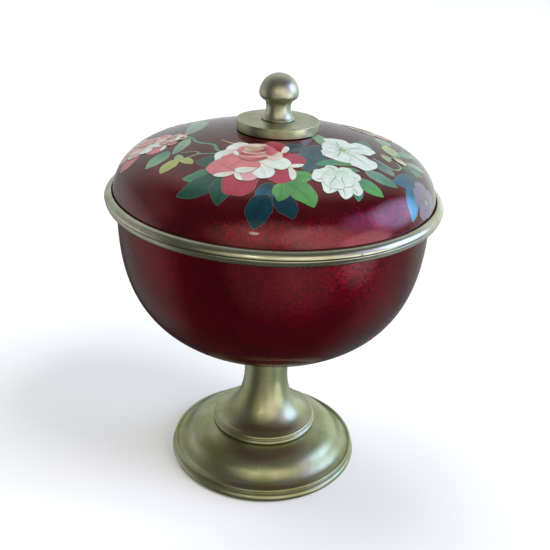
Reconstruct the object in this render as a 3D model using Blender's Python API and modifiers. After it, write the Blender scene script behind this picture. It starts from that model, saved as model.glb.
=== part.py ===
"""Enamelled bowl with a lift-off lid, on a spun metal foot.

Every piece is turned: its half section is drawn in the X-Z plane and revolved about Z.
The sections list points as (radius, height) and run down the outer side of the piece.
All sizes are in metres. The origin is on the floor, at the turning axis.
"""

import math

import bpy

# Turning: flats round each piece, and the gap that pieces in contact keep
FACETS = 40
CONTACT_GAP = 0.0003
MERGE_DISTANCE = 0.00001

# Base of the foot: a rolled edge on a hem, a groove, a bead and the width inside it that the dome leaves
FOOT_RADIUS = 0.0433
BASE_ROLL_RADIUS = 0.0019
BASE_HEM_WIDTH = 0.0037
BASE_GROOVE_DEPTH = 0.0009
BASE_GROOVE_HEIGHT = 0.0007
BASE_BEAD_RADIUS = 0.0007
BASE_SHELF_WIDTH = 0.0051

# Dome of the foot: most of a quarter ellipse under the double bead, then a sweep out to the base's bead
DOME_HEIGHT = 0.0108
RING_LOWER_RADIUS = 0.0239
RING_UPPER_RADIUS = 0.0233
RING_LOWER_BEAD = 0.0012
RING_UPPER_BEAD = 0.0009

# Flare, stem and the seat that carries the bowl
FLARE_HEIGHT = 0.0222
STEM_RADIUS = 0.0099
STEM_HEIGHT = 0.0154
SEAT_RADIUS = 0.0128
SEAT_HEIGHT = 0.0030
SEAT_THICKNESS = 0.0024
FOOT_WALL = 0.0012

# Bowl: a superellipse, widest at its mouth, with a short straight collar in its rim
BOWL_RADIUS = 0.0654
BOWL_DEPTH = 0.0648
BOWL_SQUARENESS = 2.74
BOWL_COLLAR_HEIGHT = 0.0010
BOWL_WALL = 0.0020

# Metal ring round the bowl's mouth: a flat top and a round apron outside the enamel
RIM_WIDTH = 0.0047
BOWL_RIM_TOP = 0.0011
BOWL_RIM_APRON = 0.0024

# Metal ring round the lid's edge, with a lip that drops inside the bowl's mouth
LID_RIM_STEP = 0.0002
LID_RIM_BASE = 0.0011
LID_RIM_APRON = 0.0017
LID_LIP_WALL = 0.0012
LID_LIP_DEPTH = 0.0035
LID_LIP_CLEARANCE = 0.0004

# Lid: a flat crown and a round shoulder, whose centre lies a little below the lid's edge
LID_STEP = 0.0016
LID_RISE = 0.0269
LID_SHOULDER_RADIUS = 0.0194
LID_SHOULDER_DROP = 0.0010
LID_WALL = 0.0020

# Plate on the lid
PLATE_RADIUS = 0.0168
PLATE_HEIGHT = 0.0039
PLATE_EDGE_ROUND = 0.0004

# Knob: a ball with a flattened underside on a waisted neck
KNOB_BALL_RADIUS = 0.0080
KNOB_BALL_UNDER = 0.0040
KNOB_NECK_RADIUS = 0.0050
KNOB_NECK_HEIGHT = 0.0048
KNOB_COVE_HEIGHT = 0.0029
KNOB_FLARE_WIDTH = 0.0030
KNOB_FLARE_HEIGHT = 0.0052

# Arcs, in degrees: how far a bead and the rolled edge turn into their groove, how far the
# ball turns under, where the dome turns into its sweep, and what the rims' aprons leave off at
# each end of their quarter
BEAD_TUCK = 60
ROLL_TUCK = 70
BALL_TUCK = 40
DOME_SWEEP = 25
APRON_TRIM = 10

# Straight runs that stand for one arc
BEAD_STEPS = 3
ROLL_STEPS = 3
APRON_STEPS = 4
HOLLOW_STEPS = 3
HOLLOW_DOME_STEPS = 2
DOME_STEPS = 4
SWEEP_STEPS = 2
FLARE_STEPS = 6
BOWL_STEPS = 12
BOWL_INSIDE_STEPS = 6
CROWN_STEPS = 3
SHOULDER_STEPS = 6
BALL_STEPS = 6
COVE_STEPS = 3

# Colour, metallic value and roughness of each finish
PLATED_SATIN = ((0.52, 0.50, 0.37), 1.0, 0.35)
PLATED_POLISHED = ((0.62, 0.60, 0.50), 1.0, 0.18)
RED_ENAMEL = ((0.16, 0.004, 0.012), 0.0, 0.12)


def ellipse_arc(centre, half_width, half_height, start, end, steps):
    """Points on an ellipse from start to end, in degrees. 0 points out along the radius and 90 up."""
    points = []
    for step in range(steps + 1):
        angle = math.radians(start + (end - start) * step / steps)
        out = centre[0] + half_width * math.cos(angle)
        up = centre[1] + half_height * math.sin(angle)
        points.append((out, up))
    return points


def arc(centre, radius, start, end, steps):
    """Points on a circle from start to end, in degrees."""
    return ellipse_arc(centre, radius, radius, start, end, steps)


def dome_curve(centre, half_width, half_height, end, arc_steps):
    """A dome's section: an ellipse from its top, then a curve that meets the level of its centre flat."""
    turn = math.radians(DOME_SWEEP)
    points = ellipse_arc(centre, half_width, half_height, 90, DOME_SWEEP, arc_steps)
    start = points[-1]
    corner = centre[0] + half_width / math.cos(turn)
    for step in range(1, SWEEP_STEPS + 1):
        along = step / SWEEP_STEPS
        rest = 1 - along
        out = rest**2 * start[0] + 2 * rest * along * corner + along**2 * end
        up = rest**2 * start[1] + (1 - rest**2) * centre[1]
        points.append((out, up))
    return points


def from_axis(points):
    """The same points with the first one moved onto the axis, free of rounding."""
    return [(0, points[0][1])] + points[1:]


def bowl_curve(radius, depth, mouth_height, steps):
    """Superellipse from the mouth down to the lowest point on the axis."""
    points = []
    for step in range(steps):
        angle = math.pi / 2 * step / steps
        out = radius * math.cos(angle) ** (2 / BOWL_SQUARENESS)
        down = depth * math.sin(angle) ** (2 / BOWL_SQUARENESS)
        points.append((out, mouth_height - down))
    return points + [(0, mouth_height - depth)]


def bowl_surface_drop(radius):
    """How far the bowl's outside lies below its mouth at a distance from the axis."""
    share = 1 - (radius / BOWL_RADIUS) ** BOWL_SQUARENESS
    return BOWL_DEPTH * share ** (1 / BOWL_SQUARENESS)


class LidShape:
    """Two tangent arcs: a wide crown centred on the axis and a shoulder near the edge."""

    def __init__(self, base_height):
        self.shoulder_height = base_height - LID_SHOULDER_DROP
        reach = math.sqrt(LID_SHOULDER_RADIUS**2 - LID_SHOULDER_DROP**2)
        self.shoulder_out = lid_radius() - reach
        self.top = base_height + LID_RISE
        rise = self.top - self.shoulder_height
        self.crown_radius = (self.shoulder_out**2 + rise**2 - LID_SHOULDER_RADIUS**2) / (
            2 * (rise - LID_SHOULDER_RADIUS)
        )
        self.crown_height = self.top - self.crown_radius
        self.meet = math.degrees(
            math.atan2(self.shoulder_height - self.crown_height, self.shoulder_out)
        )
        self.base = math.degrees(math.asin(LID_SHOULDER_DROP / LID_SHOULDER_RADIUS))

    def surface(self, inset):
        """The lid's skin from the axis out to its edge, moved in by an inset."""
        crown = arc((0, self.crown_height), self.crown_radius - inset, 90, self.meet, CROWN_STEPS)
        centre = (self.shoulder_out, self.shoulder_height)
        radius = LID_SHOULDER_RADIUS - inset
        shoulder = arc(centre, radius, self.meet, self.base, SHOULDER_STEPS)
        return from_axis(crown) + shoulder[1:]

    def height_at(self, radius):
        """Height of the crown's outside at a distance from the axis."""
        return self.crown_height + math.sqrt(self.crown_radius**2 - radius**2)


def finish(name, values):
    """A Principled material from a colour, a metallic value and a roughness."""
    colour, metallic, roughness = values
    material = bpy.data.materials.new(name)
    material.use_nodes = True
    shader = material.node_tree.nodes["Principled BSDF"]
    shader.inputs["Base Color"].default_value = (*colour, 1)
    shader.inputs["Metallic"].default_value = metallic
    shader.inputs["Roughness"].default_value = roughness
    material.diffuse_color = (*colour, 1)
    return material


def turned(name, section, material, collection, ring=False):
    """One piece: a half section revolved about Z. A ring's section is a closed loop."""
    count = len(section)
    edges = [(i, i + 1) for i in range(count - 1)]
    if ring:
        edges.append((count - 1, 0))
    mesh = bpy.data.meshes.new(name)
    mesh.from_pydata([(radius, 0, height) for radius, height in section], edges, [])
    mesh.materials.append(material)
    piece = bpy.data.objects.new(name, mesh)
    collection.objects.link(piece)
    screw = piece.modifiers.new("turn", "SCREW")
    screw.axis = "Z"
    screw.angle = 2 * math.pi
    screw.steps = FACETS
    screw.render_steps = FACETS
    screw.use_merge_vertices = True
    screw.merge_threshold = MERGE_DISTANCE
    screw.use_smooth_shade = True
    return piece


def foot_heights():
    """Heights of the foot's features, worked up from the floor."""
    groove = 2 * BASE_ROLL_RADIUS
    shelf = groove + BASE_GROOVE_HEIGHT + BASE_BEAD_RADIUS
    dome_top = shelf + DOME_HEIGHT
    ring_top = dome_top + 2 * RING_LOWER_BEAD + 2 * RING_UPPER_BEAD
    stem = ring_top + FLARE_HEIGHT
    seat = stem + STEM_HEIGHT
    return {
        "groove": groove,
        "shelf": shelf,
        "dome_top": dome_top,
        "ring_top": ring_top,
        "stem": stem,
        "seat": seat,
        "top": seat + SEAT_HEIGHT,
    }


def foot_radii():
    """Radii of the foot's features: its bead and groove, the dome's two ends and the flare's foot."""
    groove = FOOT_RADIUS - BASE_GROOVE_DEPTH - BASE_BEAD_RADIUS
    return {
        "groove": groove,
        "dome": groove - BASE_SHELF_WIDTH,
        "ring_lower": RING_LOWER_RADIUS - RING_LOWER_BEAD,
        "ring_upper": RING_UPPER_RADIUS - RING_UPPER_BEAD,
    }


def bowl_rim_radius():
    """Outer radius of the bowl's rim, which stands out past the enamel."""
    return BOWL_RADIUS + RIM_WIDTH


def lid_rim_radius():
    """Outer radius of the lid's rim, a step wider than the rim that it sits on."""
    return bowl_rim_radius() + LID_RIM_STEP


def lid_radius():
    """Outer radius of the lid's enamel, a step wider than the bowl's."""
    return BOWL_RADIUS + LID_STEP


def bowl_mouth_height():
    """Height of the bowl's widest line, set so that its skin clears the seat's edge."""
    return foot_heights()["top"] + CONTACT_GAP + bowl_surface_drop(SEAT_RADIUS)


def collar_height():
    """Top of the bowl's collar, which the bowl's rim covers."""
    return bowl_mouth_height() + BOWL_COLLAR_HEIGHT


def seam_height():
    """Top of the bowl's rim, which the lid's rim sits on."""
    return collar_height() + CONTACT_GAP + BOWL_RIM_TOP


def lid_base_height():
    """Underside of the enamelled lid, inside its rim."""
    return seam_height() + CONTACT_GAP + LID_RIM_BASE + CONTACT_GAP


def foot_outside():
    """The foot's outer side, from the rim of its seat down to the floor."""
    at = foot_heights()
    out = foot_radii()
    seat_width = SEAT_RADIUS - STEM_RADIUS
    flare_width = out["ring_upper"] - STEM_RADIUS
    dome_width = out["dome"] - out["ring_lower"]
    upper_centre = (out["ring_upper"], at["ring_top"] - RING_UPPER_BEAD)
    lower_centre = (out["ring_lower"], at["dome_top"] + RING_LOWER_BEAD)
    roll_centre = (FOOT_RADIUS - BASE_ROLL_RADIUS, BASE_ROLL_RADIUS)
    seat = ellipse_arc((SEAT_RADIUS, at["seat"]), seat_width, SEAT_HEIGHT, 90, 180, BEAD_STEPS)
    flare = ellipse_arc(
        (out["ring_upper"], at["stem"]), flare_width, FLARE_HEIGHT, 180, 270, FLARE_STEPS
    )
    upper_bead = arc(upper_centre, RING_UPPER_BEAD, 90, -BEAD_TUCK, BEAD_STEPS)
    lower_bead = arc(lower_centre, RING_LOWER_BEAD, BEAD_TUCK, -90, BEAD_STEPS)
    dome_end = out["groove"] - BASE_BEAD_RADIUS
    dome = dome_curve(
        (out["ring_lower"], at["shelf"]), dome_width, DOME_HEIGHT, dome_end, DOME_STEPS
    )
    base_bead = arc((out["groove"], at["shelf"]), BASE_BEAD_RADIUS, 90, -BEAD_TUCK, BEAD_STEPS)
    roll = arc(roll_centre, BASE_ROLL_RADIUS, ROLL_TUCK, -90, ROLL_STEPS)
    return (
        seat + flare + upper_bead[1:] + lower_bead + dome[1:] + base_bead
        + [(out["groove"], at["groove"])] + roll
    )


def foot_inside():
    """The hollow under the foot, from the floor up to the underside of its seat."""
    at = foot_heights()
    out = foot_radii()
    bore = STEM_RADIUS - FOOT_WALL
    neck = out["ring_lower"] - FOOT_WALL
    hem = FOOT_RADIUS - BASE_HEM_WIDTH
    dome_width = out["dome"] - out["ring_lower"]
    flare_width = out["ring_upper"] - bore
    turn = 180 + math.degrees(math.acos((out["ring_upper"] - neck) / flare_width))
    dome = dome_curve(
        (neck, at["shelf"] - FOOT_WALL), dome_width, DOME_HEIGHT, hem, HOLLOW_DOME_STEPS
    )
    flare = ellipse_arc(
        (out["ring_upper"], at["stem"]), flare_width, FLARE_HEIGHT + FOOT_WALL, turn, 180, HOLLOW_STEPS
    )
    roof = at["top"] - SEAT_THICKNESS
    return [(hem, 0)] + dome[::-1] + flare + [(bore, roof), (0, roof)]


def make_foot(material, collection):
    """Spun foot: the seat dips at its middle so that it follows the round of the bowl."""
    dip = foot_heights()["top"] - (BOWL_DEPTH - bowl_surface_drop(SEAT_RADIUS))
    section = [(0, dip)] + foot_outside() + foot_inside()
    return turned("foot", section, material, collection)


def make_bowl(material, collection):
    """Enamelled bowl, hollow, with a short straight collar inside its rim."""
    mouth = bowl_mouth_height()
    top = collar_height()
    bore = BOWL_RADIUS - BOWL_WALL
    outside = bowl_curve(BOWL_RADIUS, BOWL_DEPTH, mouth, BOWL_STEPS)
    inside = bowl_curve(bore, BOWL_DEPTH - BOWL_WALL, mouth, BOWL_INSIDE_STEPS)
    section = inside[::-1] + [(bore, top), (BOWL_RADIUS, top)] + outside
    return turned("bowl", section, material, collection)


def make_bowl_rim(material, collection):
    """Ring over the bowl's mouth: a flat top and a round apron outside the enamel."""
    seam = seam_height()
    over = collar_height() + CONTACT_GAP
    apron_foot = collar_height() - BOWL_RIM_APRON
    clear = BOWL_RADIUS + CONTACT_GAP
    bore = BOWL_RADIUS - BOWL_WALL
    width = bowl_rim_radius() - clear
    apron = ellipse_arc(
        (clear, seam), width, seam - apron_foot, -APRON_TRIM, APRON_TRIM - 90, APRON_STEPS
    )
    section = [(bowl_rim_radius() - CONTACT_GAP, seam)] + apron + [
        (clear, apron_foot),
        (clear, over),
        (bore, over),
        (bore, seam),
    ]
    return turned("bowl_rim", section, material, collection, ring=True)


def make_lid_rim(material, collection):
    """Ring under the lid: a round apron outside the enamel and a lip inside the bowl."""
    under = seam_height() + CONTACT_GAP
    seat = under + LID_RIM_BASE
    apron_top = seat + LID_RIM_APRON
    lip_out = BOWL_RADIUS - BOWL_WALL - LID_LIP_CLEARANCE
    lip_in = lip_out - LID_LIP_WALL
    clear = lid_radius() + CONTACT_GAP
    width = lid_rim_radius() - clear
    apron = ellipse_arc(
        (clear, under), width, apron_top - under, 90 - APRON_TRIM, APRON_TRIM, APRON_STEPS
    )
    section = [(clear, apron_top)] + apron + [
        (lid_rim_radius() - CONTACT_GAP, under),
        (lip_out, under),
        (lip_out, under - LID_LIP_DEPTH),
        (lip_in, under - LID_LIP_DEPTH),
        (lip_in, seat),
        (clear, seat),
    ]
    return turned("lid_rim", section, material, collection, ring=True)


def make_lid(material, collection):
    """Enamelled lid, a thin dome with the same wall all over."""
    shape = LidShape(lid_base_height())
    section = shape.surface(0) + shape.surface(LID_WALL)[::-1]
    return turned("lid", section, material, collection)


def plate_underside(radius):
    """Height of the plate's underside, which follows the lid's crown."""
    return LidShape(lid_base_height()).height_at(radius) + CONTACT_GAP


def plate_top_height():
    """Height of the plate's flat top."""
    return plate_underside(PLATE_RADIUS) + PLATE_HEIGHT


def make_knob_plate(material, collection):
    """Round plate between the lid and the knob."""
    top = plate_top_height()
    half = PLATE_RADIUS / 2
    section = [
        (0, top),
        (PLATE_RADIUS - PLATE_EDGE_ROUND, top),
        (PLATE_RADIUS, top - PLATE_EDGE_ROUND),
        (PLATE_RADIUS, plate_underside(PLATE_RADIUS)),
        (half, plate_underside(half)),
        (0, plate_underside(0)),
    ]
    return turned("knob_plate", section, material, collection)


def make_knob(material, collection):
    """Ball on a waisted neck: a half ball, a flatter underside, a cove, the waist and a flare."""
    foot = plate_top_height() + CONTACT_GAP
    waist = foot + KNOB_NECK_HEIGHT
    cove_top = waist + KNOB_COVE_HEIGHT
    middle = cove_top + KNOB_BALL_UNDER * math.sin(math.radians(BALL_TUCK))
    ball = from_axis(arc((0, middle), KNOB_BALL_RADIUS, 90, 0, BALL_STEPS))
    under = ellipse_arc(
        (0, middle), KNOB_BALL_RADIUS, KNOB_BALL_UNDER, 0, -BALL_TUCK, COVE_STEPS
    )
    cove_out = under[-1][0]
    cove = ellipse_arc(
        (cove_out, waist), cove_out - KNOB_NECK_RADIUS, KNOB_COVE_HEIGHT, 90, 180, COVE_STEPS
    )
    flare_centre = (KNOB_NECK_RADIUS + KNOB_FLARE_WIDTH, waist)
    flare_end = 180 + math.degrees(math.asin(KNOB_NECK_HEIGHT / KNOB_FLARE_HEIGHT))
    flare = ellipse_arc(
        flare_centre, KNOB_FLARE_WIDTH, KNOB_FLARE_HEIGHT, 180, flare_end, COVE_STEPS
    )
    section = ball + under[1:] + cove[1:] + flare[1:] + [(0, foot)]
    return turned("knob", section, material, collection)


def clear_scene():
    """Removes whatever the scene holds, so that a run starts empty."""
    for item in list(bpy.data.objects):
        bpy.data.objects.remove(item, do_unlink=True)


def main():
    clear_scene()
    collection = bpy.data.collections.new("lidded_bowl")
    bpy.context.scene.collection.children.link(collection)
    make_foot(finish("foot_plating", PLATED_SATIN), collection)
    make_bowl(finish("bowl_enamel", RED_ENAMEL), collection)
    make_bowl_rim(finish("bowl_rim_plating", PLATED_SATIN), collection)
    make_lid_rim(finish("lid_rim_plating", PLATED_SATIN), collection)
    make_lid(finish("lid_enamel", RED_ENAMEL), collection)
    make_knob_plate(finish("plate_plating", PLATED_SATIN), collection)
    make_knob(finish("knob_plating", PLATED_POLISHED), collection)


main()
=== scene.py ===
"""Enamelled bowl with a lift-off lid on a spun foot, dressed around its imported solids.

Each turned piece is a half section, a row of (radius, height) points, carried round Z. The flowers on
the lid are thin tiles of enamel between wires, laid out on the lid's skin unrolled flat and set into it.
All sizes are in metres, except on the flat picture, which is drawn in millimetres.
"""

import math

import bpy
import numpy as np
from bpy.props import FloatProperty, FloatVectorProperty, IntProperty, PointerProperty
from mathutils import Matrix, Vector


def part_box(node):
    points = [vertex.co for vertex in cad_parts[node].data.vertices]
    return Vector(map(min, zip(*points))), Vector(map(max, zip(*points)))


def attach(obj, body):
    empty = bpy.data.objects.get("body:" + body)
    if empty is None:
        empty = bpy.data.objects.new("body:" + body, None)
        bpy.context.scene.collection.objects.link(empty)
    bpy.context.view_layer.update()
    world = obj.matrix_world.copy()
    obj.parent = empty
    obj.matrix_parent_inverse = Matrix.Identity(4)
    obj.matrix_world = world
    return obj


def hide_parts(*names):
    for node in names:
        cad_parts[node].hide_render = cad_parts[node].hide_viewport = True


bl_info = {
    "name": "Enamelled Lidded Bowl",
    "version": (1, 0, 0),
    "blender": (4, 5, 0),
    "location": "View3D > Sidebar > Lidded Bowl",
    "description": "Makes the metal, the enamel and the flower picture of a lidded bowl on a foot",
    "category": "Add Mesh",
}

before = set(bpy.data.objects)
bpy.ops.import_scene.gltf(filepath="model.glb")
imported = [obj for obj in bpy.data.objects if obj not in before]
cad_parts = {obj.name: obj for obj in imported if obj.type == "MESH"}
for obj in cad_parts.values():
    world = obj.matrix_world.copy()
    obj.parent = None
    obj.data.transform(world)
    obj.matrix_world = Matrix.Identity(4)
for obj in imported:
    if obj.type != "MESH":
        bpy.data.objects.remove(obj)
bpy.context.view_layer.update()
BODY = "root"
METAL_SLOT = "silver_plate"
ENAMEL_SLOT = "red_enamel"
MILLIMETRE = 0.001


def lowest(node):
    """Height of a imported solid's lowest point."""
    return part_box(node)[0].z


def highest(node):
    """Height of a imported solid's highest point."""
    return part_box(node)[1].z


def reach(node):
    """Outer radius of a packed turned solid."""
    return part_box(node)[1].x


def length(name, description, default):
    """A size in metres."""
    return FloatProperty(
        name=name, description=description, default=default, min=0.0, unit="LENGTH", precision=5
    )


def angle(name, description, degrees):
    """An angle, given here in degrees."""
    return FloatProperty(name=name, description=description, default=math.radians(degrees), subtype="ANGLE")


def share(name, description, default):
    """A number from 0 to 1."""
    return FloatProperty(
        name=name, description=description, default=default, min=0.0, max=1.0, subtype="FACTOR"
    )


def amount(name, description, default):
    """A plain number."""
    return FloatProperty(name=name, description=description, default=default)


def count(name, description, default):
    """A whole number."""
    return IntProperty(name=name, description=description, default=default, min=1)


def colour(name, description, default):
    """A linear colour."""
    return FloatVectorProperty(
        name=name, description=description, default=default, size=3, min=0.0, max=1.0, subtype="COLOR"
    )


class TurningSettings(bpy.types.PropertyGroup):
    """How finely the turned pieces are divided."""

    segments: count("Segments", "Steps round each turned piece", 256)
    arc_steps: count("Arc steps", "Steps along a wide arc of a section", 28)
    bead_steps: count("Bead steps", "Steps along a small bead or a rounded edge", 8)


class FootSizes(bpy.types.PropertyGroup):
    """The spun foot, from its rolled edge up to the seat under the bowl."""

    roll: length("Roll", "Radius of the rolled edge on the floor", 0.0019)
    hem: length("Hem", "Width of the flat hem that it rests on", 0.0037)
    hem_round: length("Hem rounding", "Rounding of the hem's inner edge", 0.0005)
    groove_depth: length("Groove depth", "How far the groove over the roll steps in", 0.0009)
    groove_height: length("Groove height", "Height of that groove", 0.0007)
    bead: length("Bead", "Radius of the bead over the groove", 0.0007)
    shelf: length("Shelf", "Width that the dome leaves inside the bead", 0.0051)
    dome_height: length("Dome height", "Height of the dome over the shelf", 0.0108)
    sweep: angle("Sweep", "Where the dome turns into its sweep out to the bead", 25)
    lower_ring: length("Lower ring", "Outer radius of the lower of the two rings", 0.0239)
    upper_ring: length("Upper ring", "Outer radius of the upper ring", 0.0233)
    lower_bead: length("Lower ring's bead", "Radius of the lower ring's bead", 0.0012)
    upper_bead: length("Upper ring's bead", "Radius of the upper ring's bead", 0.0009)
    flare_height: length("Flare height", "Height of the flare over the rings", 0.0222)
    stem_radius: length("Stem radius", "Radius of the stem", 0.0099)
    seat_radius: length("Seat radius", "Radius of the seat under the bowl", 0.0128)
    seat_height: length("Seat height", "Height over which the stem widens to the seat", 0.0030)
    seat_thickness: length("Seat thickness", "Metal over the hollow stem", 0.0024)
    wall: length("Wall", "Thickness of the sheet", 0.0012)


class BowlSizes(bpy.types.PropertyGroup):
    """The enamelled bowl."""

    depth: length("Depth", "From the mouth's widest line down to the bottom", 0.0648)
    squareness: amount("Squareness", "Exponent of the superellipse that the bowl follows", 2.74)
    wall: length("Wall", "Thickness of the enamelled wall", 0.0020)
    lip: length("Lip", "Rounding of the bowl's upper edge", 0.0003)


class RimSizes(bpy.types.PropertyGroup):
    """The metal rings round the bowl's mouth and the lid's edge."""

    gap: length("Gap", "Clearance between pieces that touch", 0.0003)
    bowl_apron: length("Bowl apron", "Height of the bowl rim's apron below the collar", 0.0024)
    lid_apron: length("Lid apron", "Height of the lid rim's apron over its base", 0.0017)
    lid_base: length("Lid base", "Thickness of the lid rim under the enamel", 0.0011)
    lip_wall: length("Lip wall", "Thickness of the lip inside the bowl", 0.0012)
    lip_depth: length("Lip depth", "How far the lip drops inside the bowl", 0.0035)
    lip_clearance: length("Lip clearance", "Gap between the lip and the bowl", 0.0004)
    rounding: length("Rounding", "Rounding of the rims' edges", 0.00035)


class LidSizes(bpy.types.PropertyGroup):
    """The enamelled lid: a flat crown and a round shoulder."""

    shoulder: length("Shoulder", "Radius of the round shoulder", 0.0194)
    drop: length("Drop", "How far the shoulder's centre lies below the lid's edge", 0.0010)
    wall: length("Wall", "Thickness of the enamelled wall", 0.0020)


class KnobSizes(bpy.types.PropertyGroup):
    """The ball knob and the plate under it."""

    ball: length("Ball", "Radius of the ball", 0.0080)
    under: length("Underside", "Half height of the ball's flatter underside", 0.0040)
    tuck: angle("Tuck", "How far the ball turns under", 40)
    neck: length("Neck", "Radius of the waist", 0.0050)
    neck_height: length("Neck height", "From the knob's foot up to the waist", 0.0048)
    cove: length("Cove", "Height of the cove under the ball", 0.0029)
    flare_width: length("Flare width", "How far the foot of the neck spreads", 0.0030)
    flare_height: length("Flare height", "Height of the ellipse that the neck's foot follows", 0.0052)
    plate_round: length("Plate rounding", "Rounding of the plate's edges", 0.0004)


class MetalLooks(bpy.types.PropertyGroup):
    """Satin plating with tarnish and turning lines."""

    clean: colour("Clean", "Plating where it is rubbed clean", (0.62, 0.61, 0.51))
    warm: colour("Warm", "Plating under a thin warm tarnish", (0.33, 0.345, 0.155))
    dark: colour("Dark", "Dirt and tarnish in grooves", (0.05, 0.04, 0.02))
    satin: share("Satin", "Roughness of the satin pieces", 0.31)
    polished: share("Polished", "Roughness of the knob and its plate", 0.33)
    line_pitch: length("Line pitch", "Distance between turning lines", 0.00018)
    line_depth: amount("Line depth", "Depth of the turning lines in metres", 0.000012)
    blotch: length("Blotch", "Size of the tarnish's blotches", 0.016)
    film: share("Film", "How dull the thickest tarnish is", 0.09)


class EnamelLooks(bpy.types.PropertyGroup):
    """See-through ruby enamel over crinkled foil."""

    ruby: colour("Ruby", "Foil seen through the enamel", (0.29, 0.002, 0.024))
    deep: colour("Deep", "Where the enamel is thick", (0.070, 0.001, 0.007))
    grain: length("Grain", "Size of the foil's crinkles", 0.00050)
    glitter: amount("Glitter", "How far the crinkles tilt", 0.24)
    foil: share("Foil", "Roughness of the foil", 0.24)
    metal: share("Metal", "How metallic the foil shines through", 0.85)
    cloud: length("Cloud", "Size of the clouds where the enamel is thicker", 0.018)
    edge: colour("Edge", "Foil seen at a slant", (0.10, 0.006, 0.020))
    gloss: share("Gloss", "Roughness of the glassy surface", 0.04)


class PictureSizes(bpy.types.PropertyGroup):
    """The flower picture's tiles and wires."""

    lift: length("Lift", "How far the lowest tile stands over the lid", 0.000020)
    step: length("Step", "How much higher each overlapping tile stands", 0.000018)
    sunk: length("Sunk", "How far tiles reach into the lid's wall", 0.0003)
    border: length("Border", "Width along the lid's edge where the picture is drawn in", 0.005)
    margin: length("Margin", "Bare width that the picture leaves at the lid's edge", 0.0005)
    wire: length("Wire", "Width of the wires", 0.00010)
    wire_rise: length("Wire rise", "How far a wire stands over its tile", 0.000006)


class PictureColours(bpy.types.PropertyGroup):
    """Colours of the flower picture's enamels."""

    deep_rose: colour("Deep rose", "Outer petals of the red rose", (0.265, 0.028, 0.050))
    rose_pink: colour("Rose pink", "Inner petals of the red rose", (0.420, 0.130, 0.142))
    bright_pink: colour("Bright pink", "The rose's brightest petal", (0.430, 0.125, 0.150))
    pale_rose: colour("Pale rose", "Palest pink petals", (0.476, 0.262, 0.271))
    beige: colour("Beige", "Folds in the rose's heart", (0.344, 0.221, 0.139))
    cream: colour("Cream", "Turned edges of petals", (0.500, 0.440, 0.370))
    white: colour("White", "White petals", (0.490, 0.550, 0.520))
    white_green: colour("Greenish white", "Foot of the white petals", (0.400, 0.500, 0.420))
    # Painted reflection: these fine dark lines stand for silver inner wires along the petals, coloured as
    # dark as the wires look from what they reflect
    line: colour("Line", "Fine dark lines", (0.049, 0.061, 0.057))
    bright_green: colour("Bright green", "The brightest leaves", (0.070, 0.246, 0.066))
    green: colour("Green", "Green leaves", (0.057, 0.180, 0.057))
    sea_green: colour("Sea green", "Bluish green leaves", (0.045, 0.172, 0.107))
    dark_green: colour("Dark green", "Leaves in the shade", (0.013, 0.056, 0.040))
    grey_green: colour("Grey green", "Pale leaves and stems far back", (0.107, 0.197, 0.156))
    pale_green: colour("Pale green", "Palest leaves", (0.164, 0.279, 0.164))
    lime: colour("Lime", "Yellowish buds and young leaves", (0.271, 0.303, 0.090))
    teal: colour("Teal", "Darkest blue leaves", (0.003, 0.026, 0.038))
    slate: colour("Slate", "Grey blue leaves", (0.017, 0.046, 0.060))
    slate_blue: colour("Slate blue", "Lighter grey blue", (0.030, 0.072, 0.090))
    blue: colour("Blue", "Blue leaves", (0.010, 0.090, 0.156))
    light_blue: colour("Light blue", "Tips of the blue leaves", (0.049, 0.246, 0.426))
    lilac: colour("Lilac", "Lilac flower", (0.150, 0.125, 0.175))


class StageSettings(bpy.types.PropertyGroup):
    """Floor, lights and camera."""

    floor: colour("Floor", "Colour of the pale floor", (0.86, 0.86, 0.86))
    floor_size: length("Floor size", "Side of the square floor", 12.0)
    camera_back: length("Camera back", "How far the camera stands in front of the axis", 0.3274)
    camera_height: length("Camera height", "Height of the camera over the floor", 0.2427)
    lens: amount("Lens", "Focal length in millimetres on a 36 mm sensor", 53.71)
    pitch: angle("Pitch", "How far the camera looks down", 24.95)
    pan: angle("Pan", "How far the camera turns to the right", 0.34)
    roll: angle("Roll", "How far the picture is rolled", 2.86)
    key: amount("Key", "Power of the key light in watts", 125.0)
    fill: amount("Fill", "Power of the fill light in watts", 120.0)


class BowlSettings(bpy.types.PropertyGroup):
    """All sizes and looks of the lidded bowl."""

    turning: PointerProperty(type=TurningSettings, name="Turning", description="How finely pieces are turned")
    foot: PointerProperty(type=FootSizes, name="Foot", description="Sizes of the foot")
    bowl: PointerProperty(type=BowlSizes, name="Bowl", description="Sizes of the bowl")
    rims: PointerProperty(type=RimSizes, name="Rims", description="Sizes of the two rims")
    lid: PointerProperty(type=LidSizes, name="Lid", description="Sizes of the lid")
    knob: PointerProperty(type=KnobSizes, name="Knob", description="Sizes of the knob and plate")
    picture: PointerProperty(type=PictureSizes, name="Picture", description="Sizes of the picture's tiles")
    colours: PointerProperty(type=PictureColours, name="Colours", description="Colours of the picture")
    metal: PointerProperty(type=MetalLooks, name="Metal", description="Finish of the plating")
    enamel: PointerProperty(type=EnamelLooks, name="Enamel", description="Finish of the enamel")
    stage: PointerProperty(type=StageSettings, name="Stage", description="Floor, lights and camera")


def settings():
    """The scene's own settings."""
    return bpy.context.scene.lidded_bowl


# Sections: rows of (radius, height) points

SAME_PLACE = 1e-6
GROOVE_BLUR = 0.0007
BOWL_APRON_ARC = (-16, -82)
LID_APRON_ARC = (80, 14)


def ellipse_arc(centre, half_width, half_height, start, end, steps):
    """Centre plus half width times the cosine and half height times the sine, angles in degrees."""
    turn = np.radians(np.linspace(start, end, steps + 1))
    return np.stack([centre[0] + half_width * np.cos(turn), centre[1] + half_height * np.sin(turn)], axis=-1)


def round_arc(centre, radius, start, end, steps):
    """Part of a circle, angles in degrees."""
    return ellipse_arc(centre, radius, radius, start, end, steps)


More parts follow.
